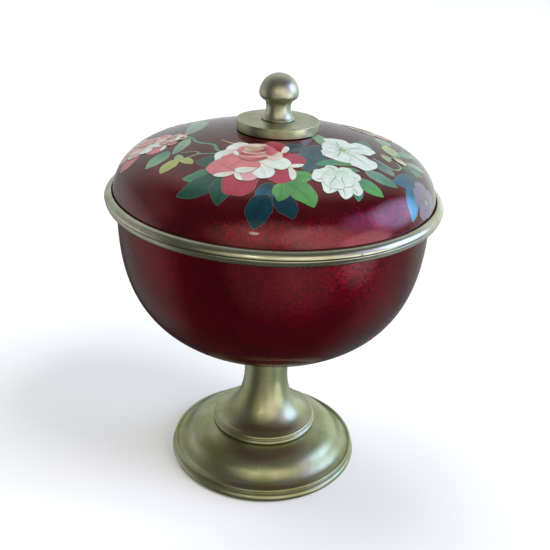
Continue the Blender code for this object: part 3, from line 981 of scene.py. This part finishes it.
# A rose's petals: direction, start, end and width, the hues at its base and tip, and its turned edge's side
ROSE_PETALS = (
    (257, 6.0, 27.0, 13.0, "deep", "deep", 0),
    (308, 5.0, 22.5, 12.0, "deep", "deep", 1),
    (346, 4.0, 20.0, 10.5, "deep", "deep", -1),
    (36, 3.0, 14.5, 11.0, "deep", "deep", -1),
    (92, 1.0, 9.0, 12.0, "fold", "edge", 0),
    (136, 2.0, 12.5, 9.5, "pale", "light", 0),
    (187, 3.0, 14.8, 11.0, "pale", "light", 0),
    (220, 4.0, 20.0, 12.5, "mid", "bright", 1),
    (262, 5.0, 18.5, 9.5, "mid", "pale", -1),
    (288, 2.0, 17.5, 8.5, "edge", "light", 0),
    (232, 1.0, 13.0, 16.5, "mid", "mid", 1),
    (326, 1.0, 16.0, 9.0, "edge", "light", 0),
    (352, 1.0, 11.0, 7.0, "mid", "edge", 0),
    (28, 0.5, 9.0, 8.0, "deep", "mid", 0),
    (152, 0.5, 7.5, 8.5, "deep", "mid", 1),
)

# The folds across a rose's heart: distance behind the centre, half length, width, bend and hues
ROSE_FOLDS = (
    (6.2, 3.6, 3.4, -0.34, "fold", "fold"),
    (4.9, 4.2, 1.0, -0.32, "edge", "edge"),
    (3.6, 4.4, 2.8, -0.28, "fold", "deep"),
    (2.2, 4.9, 1.1, -0.26, "edge", "edge"),
    (0.8, 5.0, 2.8, -0.24, "deep", "mid"),
    (-0.8, 5.6, 1.3, -0.20, "edge", "pale"),
    (-2.4, 5.4, 2.6, -0.18, "mid", "deep"),
)

OPEN_PETALS = ((102, 11.5, 11.0), (38, 15.5, 11.0), (-42, 16.0, 11.5), (-112, 10.5, 12.0), (176, 8.0, 10.0))
EVEN_PETALS = ((90, 12.0, 11.0), (18, 12.5, 11.0), (-54, 12.0, 11.0), (-126, 12.5, 11.0), (162, 12.0, 11.0))

# A half-open flower's petals: direction, start, end, width and bend
CUP_PETALS = (
    (20, 0.0, 6.5, 6.5, 0.10),
    (150, 0.0, 7.0, 6.0, 0.08),
    (-20, 0.5, 10.0, 8.0, 0.05),
    (-62, 3.0, 17.5, 7.5, 0.06),
    (-84, 3.0, 19.5, 8.0, 0.04),
    (-108, 3.0, 19.0, 8.0, -0.03),
    (-138, 1.0, 15.5, 10.5, -0.05),
    (-112, 0.0, 14.5, 12.5, 0.06),
    (-80, 0.0, 11.5, 8.5, 0.10),
)

RED_ROSE = {"deep": "deep_rose", "mid": "rose_pink", "bright": "bright_pink", "pale": "pale_rose",
            "fold": "beige", "edge": "cream", "light": "white"}
PALE_ROSE = {"deep": "rose_pink", "mid": "pale_rose", "bright": "rose_pink", "pale": "pale_rose",
             "fold": "rose_pink", "edge": "cream", "light": "white"}


def lay_picture(picture):
    """The whole wreath: leaves and stems first, then the flowers over them. The back of it is plainer."""
    lay_leaves(picture, LEAVES)
    for hue, width, taper, stops in STEMS:
        picture.lay("leaves", strand(stops, width, taper), hue, hue)
    lay_rose(picture, (-8.5, -30.0), 1.0, 0, RED_ROSE)
    lay_rose(picture, (-54.0, -2.0), 0.74, -12, PALE_ROSE)
    lay_rose(picture, (-43.0, -4.0), 0.34, 20, PALE_ROSE)
    lay_rose(picture, (-53.0, 35.0), 0.60, 180, PALE_ROSE)
    lay_rose(picture, (38.0, 27.0), 0.74, 100, PALE_ROSE)
    lay_open_flower(picture, (25.5, -18.5), 1.0, 0, "white_green", "white", OPEN_PETALS)
    lay_open_flower(picture, (42.0, 50.0), 0.75, 20, "white_green", "white", EVEN_PETALS)
    lay_open_flower(picture, (0.0, 56.0), 0.85, 0, "pale_rose", "cream", EVEN_PETALS)
    lay_open_flower(picture, (63.0, -31.0), 0.74, 40, "lilac", "lilac", EVEN_PETALS)
    lay_half_open(picture, (24.0, -37.0), 0.84, "white_green", "white")
    lay_bud(picture, (48.0, -10.0), (45.5, 3.5), 6.6, "pale_green", "lime")
    lay_bud(picture, (43.0, -11.0), (45.0, -17.5), 4.2, "beige", "pale_green")
    lay_bud(picture, (47.0, -10.0), (52.5, -15.5), 3.6, "beige", "cream")
    lay_bud(picture, (-20.0, 58.0), (-14.0, 66.0), 4.6, "rose_pink", "deep_rose")


# Materials

GLASS_IOR = 1.5
MOST_NOISE = (0.3, 0.7)


class Graph:
    """The nodes of a material or of the world, added one by one and linked as they are made."""

    def __init__(self, owner):
        owner.use_nodes = True
        self.owner = owner
        self.tree = owner.node_tree
        self.shader = self.tree.nodes.get("Principled BSDF")

    def node(self, kind, inputs=None, **values):
        """A node with its own values, and its inputs given as numbers or as other nodes' outputs."""
        made = self.tree.nodes.new("ShaderNode" + kind)
        for name, value in values.items():
            setattr(made, name, value)
        for key, value in (inputs or {}).items():
            self.feed(made.inputs[key], value)
        return made

    def feed(self, socket, value):
        """Links an output to a socket, or sets the socket's own value."""
        if isinstance(value, bpy.types.NodeSocket):
            self.tree.links.new(value, socket)
        elif hasattr(socket.default_value, "__len__") and len(socket.default_value) == 4:
            socket.default_value = (*tuple(value)[:3], 1)
        else:
            socket.default_value = value

    def math(self, operation, *values):
        """One sum on numbers."""
        return self.node("Math", dict(enumerate(values)), operation=operation).outputs[0]

    def vector(self, operation, *values):
        """One sum on vectors."""
        return self.node("VectorMath", dict(enumerate(values)), operation=operation).outputs[0]

    def noise(self, place, size, detail=3.0, roughness=0.5):
        """Soft random clouds of a given size in metres."""
        inputs = {"Vector": place, "Scale": 1 / size, "Detail": detail, "Roughness": roughness}
        return self.node("TexNoise", inputs).outputs["Fac"]

    def ramp(self, value, low, high, to_low=0.0, to_high=1.0):
        """Carries a range of numbers onto another, and stays inside it."""
        inputs = {"Value": value, "From Min": low, "From Max": high, "To Min": to_low, "To Max": to_high}
        return self.node("MapRange", inputs, clamp=True).outputs[0]

    def mix(self, factor, first, second):
        """Blends two colours."""
        made = self.node("Mix", data_type="RGBA")
        self.feed(made.inputs["Factor"], factor)
        self.feed(made.inputs[6], first)
        self.feed(made.inputs[7], second)
        return made.outputs[2]

    def place(self):
        """Object coordinates."""
        return self.node("TexCoord").outputs["Object"]

    def round_place(self):
        """Distance from the axis, height and direction, for marks that run round a turned piece."""
        apart = self.node("SeparateXYZ", {0: self.place()})
        flat = self.node("CombineXYZ", {0: apart.outputs[0], 1: apart.outputs[1]})
        out = self.node("VectorMath", {0: flat.outputs[0]}, operation="LENGTH").outputs["Value"]
        turn = self.math("ARCTAN2", apart.outputs[1], apart.outputs[0])
        return out, apart.outputs[2], turn

    def bump(self, height, strength, distance):
        """Small relief from a height."""
        return self.node("Bump", {"Height": height, "Strength": strength, "Distance": distance}).outputs[0]

    def scaled(self, value, factor):
        """A vector or a colour times a number."""
        return self.node("VectorMath", {0: value, "Scale": factor}, operation="SCALE").outputs[0]

    def attribute(self, name, output):
        """What a piece keeps for each of its points."""
        return self.node("Attribute", attribute_name=name).outputs[output]

    def coat(self, weight, roughness):
        """A clear glassy layer over the colour, which has no gloss of its own."""
        for socket, value in (
            ("Specular IOR Level", 0.0),
            ("Coat Weight", weight),
            ("Coat Roughness", roughness),
            ("Coat IOR", GLASS_IOR),
        ):
            self.shader.inputs[socket].default_value = value


def plating(name, roughness, warmth, spots=0.0):
    """Satin plating: warm tarnish in clouds, darker grooves, fine turning lines and a few dark spots."""
    looks = settings().metal
    graph = Graph(bpy.data.materials.new(name))
    out, up, turn = graph.round_place()
    place = graph.place()
    pitch = looks.line_pitch
    around = graph.node("CombineXYZ", {
        0: graph.math("MULTIPLY", out, 1 / pitch),
        1: graph.math("MULTIPLY", up, 1 / pitch),
        2: graph.math("MULTIPLY", turn, 3.0),
    }).outputs[0]
    lines = graph.node("TexNoise", {"Vector": around, "Scale": 0.5, "Detail": 2.0}).outputs["Fac"]
    cloud = graph.noise(place, looks.blotch, 4.0, 0.6)
    speck = graph.noise(place, looks.blotch / 12, 3.0, 0.7)
    groove = graph.attribute("groove", "Fac")
    dirt = graph.math("MULTIPLY", graph.ramp(groove, 0.5, 2.0), graph.ramp(speck, 0.30, 0.62, 0.30, 0.55))
    warm = graph.ramp(cloud, 0.36, 0.66, max(0.0, warmth - 0.3), min(1.0, warmth + 0.3))
    tint = graph.mix(warm, looks.clean, looks.warm)
    if spots:
        spot = graph.ramp(graph.noise(place, looks.blotch / 5, 1.0), 0.72, 0.76, 0.0, spots)
        dirt = graph.math("MAXIMUM", dirt, spot)
    graph.feed(graph.shader.inputs["Base Color"], graph.mix(dirt, tint, looks.dark))
    graph.shader.inputs["Metallic"].default_value = 1 - looks.film * warmth
    clouded = graph.ramp(cloud, *MOST_NOISE, roughness * 0.85, roughness * 1.25)
    soft = graph.math("ADD", clouded, graph.math("MULTIPLY", dirt, 0.25))
    grain = graph.ramp(lines, *MOST_NOISE, -roughness * 0.12, roughness * 0.12)
    graph.feed(graph.shader.inputs["Roughness"], graph.math("ADD", soft, grain))
    graph.feed(graph.shader.inputs["Normal"], graph.bump(lines, 0.35, looks.line_depth))
    return graph.owner


def foil_enamel(name, depth, clear):
    """Ruby glass over crinkled foil: small tilted flakes under a smooth clear surface."""
    looks = settings().enamel
    graph = Graph(bpy.data.materials.new(name))
    place = graph.place()
    flakes = graph.node("TexVoronoi", {"Vector": place, "Scale": 1 / looks.grain}, feature="F1")
    tilt = graph.vector("SUBTRACT", flakes.outputs["Color"], (0.5, 0.5, 0.5))
    facing = graph.node("NewGeometry").outputs["Normal"]
    tilted = graph.vector("NORMALIZE", graph.vector("ADD", facing, graph.scaled(tilt, looks.glitter)))
    cloud = graph.ramp(graph.noise(place, looks.cloud, 4.0, 0.6), *MOST_NOISE, -0.25, 0.25)
    fine = graph.ramp(graph.noise(place, looks.grain * 2, 2.0), *MOST_NOISE, -0.2, 0.2)
    thick = graph.math("ADD", graph.math("ADD", cloud, fine), depth)
    graph.feed(graph.shader.inputs["Base Color"], graph.mix(thick, looks.ruby, looks.deep))
    graph.shader.inputs["Metallic"].default_value = looks.metal
    graph.shader.inputs["Specular Tint"].default_value = (*looks.edge, 1)
    graph.shader.inputs["Roughness"].default_value = looks.foil
    graph.coat(clear, looks.gloss)
    graph.feed(graph.shader.inputs["Normal"], tilted)
    return graph.owner


def tile_enamel(name, vein):
    """Opaque enamel in a tile's own colour, with fine streaks and a darker vein, under clear glass."""
    graph = Graph(bpy.data.materials.new(name))
    along, across, mark = graph.node("SeparateXYZ", {0: graph.attribute("tile_place", "Vector")}).outputs
    streaks = graph.node("CombineXYZ", {
        0: graph.math("MULTIPLY", along, 1.6),
        1: graph.math("MULTIPLY", across, 7.0),
        2: graph.math("MULTIPLY", mark, 3.7),
    }).outputs[0]
    streak = graph.noise(streaks, 1.0, 3.0)
    cloud = graph.noise(graph.place(), 0.004, 3.0)
    clouded = graph.ramp(cloud, *MOST_NOISE, 0.90, 1.10)
    tone = graph.math("ADD", graph.ramp(streak, *MOST_NOISE, -0.10, 0.10), clouded)
    middle = graph.ramp(graph.math("ABSOLUTE", across), 0.03, 0.10, vein, 0.0)
    tone = graph.math("SUBTRACT", tone, middle)
    graph.feed(graph.shader.inputs["Base Color"], graph.scaled(graph.attribute("tint", "Color"), tone))
    graph.feed(graph.shader.inputs["Roughness"], graph.ramp(cloud, *MOST_NOISE, 0.30, 0.45))
    graph.coat(1.0, settings().enamel.gloss)
    return graph.owner


def pale_floor(name):
    """Matt, faintly uneven pale floor."""
    graph = Graph(bpy.data.materials.new(name))
    cloud = graph.noise(graph.place(), 0.4, 2.0)
    floor = settings().stage.floor
    darker = tuple(part * 0.985 for part in floor)
    graph.feed(graph.shader.inputs["Base Color"], graph.mix(cloud, floor, darker))
    graph.shader.inputs["Roughness"].default_value = 0.9
    return graph.owner


# Operators


class MakeFoot(bpy.types.Operator):
    """Make the spun metal foot"""

    bl_idname = "lidded_bowl.make_foot"
    bl_label = "Foot"

    def execute(self, context):
        piece = turned("metal_foot", foot_section())
        piece.data.materials.append(plating("satin_plating", settings().metal.satin, warmth=0.85))
        settle(piece, METAL_SLOT, "foot")
        return {"FINISHED"}


class MakeBowl(bpy.types.Operator):
    """Make the enamelled bowl"""

    bl_idname = "lidded_bowl.make_bowl"
    bl_label = "Bowl"

    def execute(self, context):
        piece = turned("enamelled_bowl", bowl_section())
        piece.data.materials.append(foil_enamel("bowl_enamel", depth=0.50, clear=0.55))
        settle(piece, ENAMEL_SLOT, "bowl")
        return {"FINISHED"}


class MakeRims(bpy.types.Operator):
    """Make the metal rims of the bowl and of the lid"""

    bl_idname = "lidded_bowl.make_rims"
    bl_label = "Rims"

    def execute(self, context):
        finish = plating("rim_plating", settings().metal.satin * 0.65, warmth=0.40, spots=0.5)
        for name, section, node in (
            ("metal_bowl_rim", bowl_rim_section(), "bowl_rim"),
            ("metal_lid_rim", lid_rim_section(), "lid_rim"),
        ):
            piece = turned(name, section, ring=True)
            piece.data.materials.append(finish)
            settle(piece, METAL_SLOT, node)
        return {"FINISHED"}


class MakeLid(bpy.types.Operator):
    """Make the enamelled lid"""

    bl_idname = "lidded_bowl.make_lid"
    bl_label = "Lid"

    def execute(self, context):
        piece = turned("enamelled_lid", lid_section())
        piece.data.materials.append(foil_enamel("lid_enamel", depth=0.60, clear=1.0))
        settle(piece, ENAMEL_SLOT, "lid")
        return {"FINISHED"}


class MakeKnob(bpy.types.Operator):
    """Make the ball knob and the plate under it"""

    bl_idname = "lidded_bowl.make_knob"
    bl_label = "Knob and plate"

    def execute(self, context):
        polished = settings().metal.polished
        plate = turned("metal_knob_plate", plate_section())
        plate.data.materials.append(plating("plate_plating", polished * 0.9, warmth=0.72, spots=0.25))
        settle(plate, METAL_SLOT, "knob_plate")
        knob = turned("metal_knob", knob_section())
        knob.data.materials.append(plating("knob_plating", polished, warmth=0.40))
        settle(knob, METAL_SLOT, "knob")
        return {"FINISHED"}


class MakePicture(bpy.types.Operator):
    """Make the flower picture on the lid, with its wires"""

    bl_idname = "lidded_bowl.make_picture"
    bl_label = "Flower picture"

    def execute(self, context):
        picture = Picture(LidSkin())
        lay_picture(picture)
        leaf, petal = tile_enamel("leaf_enamel", vein=0.16), tile_enamel("petal_enamel", vein=0.10)
        for name, group, finish in (
            ("inlaid_leaves", "leaves", leaf),
            ("inlaid_roses", "roses", petal),
            ("inlaid_flowers", "flowers", petal),
            ("inlaid_buds", "buds", petal),
        ):
            piece = picture.build(name, group)
            piece.data.materials.append(finish)
            dress(piece)
        wires = picture.build_wires("inlaid_wires")
        wires.data.materials.append(plating("wire_plating", settings().metal.satin, warmth=1.0))
        dress(wires)
        return {"FINISHED"}


# The room's own light, and its glows: direction, the cosines where each starts and is full, and its colour
ROOM_LIGHT = (0.070, 0.077, 0.067)
GLOWS = (
    ((0.0, 0.90, 0.42), 0.45, 0.97, (0.57, 0.60, 0.61)),
    ((0.0, 0.35, 1.0), 0.60, 0.98, (0.08, 0.08, 0.08)),
    ((0.0, -0.88, 0.46), 0.86, 0.985, (0.44, 0.44, 0.33)),
    ((0.0, -1.0, -0.25), 0.79, 0.97, (0.24, 0.24, 0.19)),
    ((0.90, -0.42, -0.15), 0.91, 0.98, (1.70, 1.80, 1.75)),
    ((0.80, 0.50, -0.40), 0.60, 0.95, (0.30, 0.33, 0.35)),
    ((0.70, 0.70, 0.05), 0.80, 0.97, (0.45, 0.50, 0.46)),
    ((0.93, 0.12, 0.33), 0.90, 0.99, (1.80, 2.50, 4.40)),
    ((0.80, -0.25, 0.42), 0.92, 0.99, (0.75, 0.62, 1.20)),
    ((-1.0, 0.30, 0.20), 0.76, 0.98, (0.25, 0.24, 0.25)),
    ((-0.90, 0.35, -0.40), 0.75, 0.97, (0.42, 0.42, 0.45)),
    ((-0.20, -0.90, 0.38), 0.9975, 0.9996, (6.00, 5.90, 5.60)),
    ((0.50, -0.84, 0.24), 0.85, 0.99, (1.22, 1.06, 0.98)),
    ((-0.34, -0.90, 0.20), 0.86, 0.99, (0.38, 0.35, 0.24)),
    ((0.44, -0.84, -0.32), 0.88, 0.99, (0.34, 0.32, 0.28)),
)


class SetStage(bpy.types.Operator):
    """Set the floor, the lights and the camera"""

    bl_idname = "lidded_bowl.set_stage"
    bl_label = "Stage"

    def execute(self, context):
        self.floor()
        self.surroundings()
        stage = settings().stage
        self.soft_light("key_light", place=(2.4, -1.0, 3.4), size=2.2, power=stage.key)
        self.soft_light("fill_light", place=(-1.6, 1.2, 4.0), size=4.0, power=stage.fill)
        self.camera()
        context.scene.view_settings.view_transform = "Standard"
        return {"FINISHED"}

    def floor(self):
        """A square of floor under the foot. Its light reaches the metal through the surroundings instead."""
        half = settings().stage.floor_size / 2
        corners = np.array([[-half, -half, 0], [half, -half, 0], [half, half, 0], [-half, half, 0]])
        floor = put_mesh("pale_floor", corners, np.array([[0, 1, 2, 3]]), NO_TRIANGLES)
        floor.data.materials.append(pale_floor("floor_paint"))
        floor.visible_glossy = False

    def surroundings(self):
        """Soft light from all round: a dim room, and glows that each fade out from one direction."""
        world = bpy.data.worlds.new("soft_room")
        bpy.context.scene.world = world
        graph = Graph(world)
        way = graph.node("TexCoord").outputs["Generated"]
        total = ROOM_LIGHT
        for ahead, low, high, glow in GLOWS:
            towards = tuple(Vector(ahead).normalized())
            near = graph.node("VectorMath", {0: way, 1: towards}, operation="DOT_PRODUCT").outputs["Value"]
            fade = graph.node("MapRange", {"Value": near, "From Min": low, "From Max": high},
                              interpolation_type="SMOOTHSTEP").outputs[0]
            total = graph.vector("ADD", total, graph.scaled(glow, fade))
        graph.feed(graph.tree.nodes["Background"].inputs["Color"], total)

    def soft_light(self, name, place, size, power):
        """A square soft light that looks at the middle of the bowl and leaves no square in its gloss."""
        lamp = bpy.data.lights.new(name, "AREA")
        lamp.shape = "SQUARE"
        lamp.size = size
        lamp.energy = power
        light = bpy.data.objects.new(name, lamp)
        bpy.context.scene.collection.objects.link(light)
        aim = Vector((0, 0, highest("knob") / 2))
        light.location = place
        light.rotation_euler = (aim - Vector(place)).to_track_quat("-Z", "Y").to_euler()
        light.visible_glossy = False

    def camera(self):
        """The camera, turned by its pan, pitch and roll."""
        stage = settings().stage
        data = bpy.data.cameras.new("camera")
        data.lens = stage.lens
        data.sensor_width = 36
        data.clip_start = 0.01
        camera = bpy.data.objects.new("camera", data)
        bpy.context.scene.collection.objects.link(camera)
        ahead = Vector((
            math.sin(stage.pan) * math.cos(stage.pitch),
            math.cos(stage.pan) * math.cos(stage.pitch),
            -math.sin(stage.pitch),
        ))
        level = ahead.cross(Vector((0, 0, 1))).normalized()
        above = level.cross(ahead)
        right = level * math.cos(stage.roll) + above * math.sin(stage.roll)
        up = above * math.cos(stage.roll) - level * math.sin(stage.roll)
        turn = Matrix((right, up, -ahead)).transposed().to_4x4()
        camera.matrix_world = Matrix.Translation((0, -stage.camera_back, stage.camera_height)) @ turn
        bpy.context.scene.camera = camera


class LiddedBowlPanel(bpy.types.Panel):
    """The bowl's makers in the 3D view's sidebar"""

    bl_idname = "VIEW3D_PT_lidded_bowl"
    bl_label = "Lidded Bowl"
    bl_space_type = "VIEW_3D"
    bl_region_type = "UI"
    bl_category = "Lidded Bowl"

    def draw(self, context):
        for maker in MAKERS:
            self.layout.operator(maker.bl_idname, text=maker.bl_label)


MAKERS = (SetStage, MakeFoot, MakeBowl, MakeRims, MakeLid, MakeKnob, MakePicture)
GROUPS = (
    TurningSettings, FootSizes, BowlSizes, RimSizes, LidSizes, KnobSizes, PictureSizes, PictureColours,
    MetalLooks, EnamelLooks, StageSettings, BowlSettings,
)


def register():
    for item in GROUPS + MAKERS + (LiddedBowlPanel,):
        bpy.utils.register_class(item)
    bpy.types.Scene.lidded_bowl = PointerProperty(
        type=BowlSettings, name="Lidded bowl", description="Sizes and looks of the lidded bowl"
    )


def unregister():
    del bpy.types.Scene.lidded_bowl
    for item in reversed(GROUPS + MAKERS + (LiddedBowlPanel,)):
        bpy.utils.unregister_class(item)


def main():
    register()
    for maker in MAKERS:
        group, name = maker.bl_idname.split(".")
        getattr(getattr(bpy.ops, group), name)()


if __name__ == "__main__":
    main()
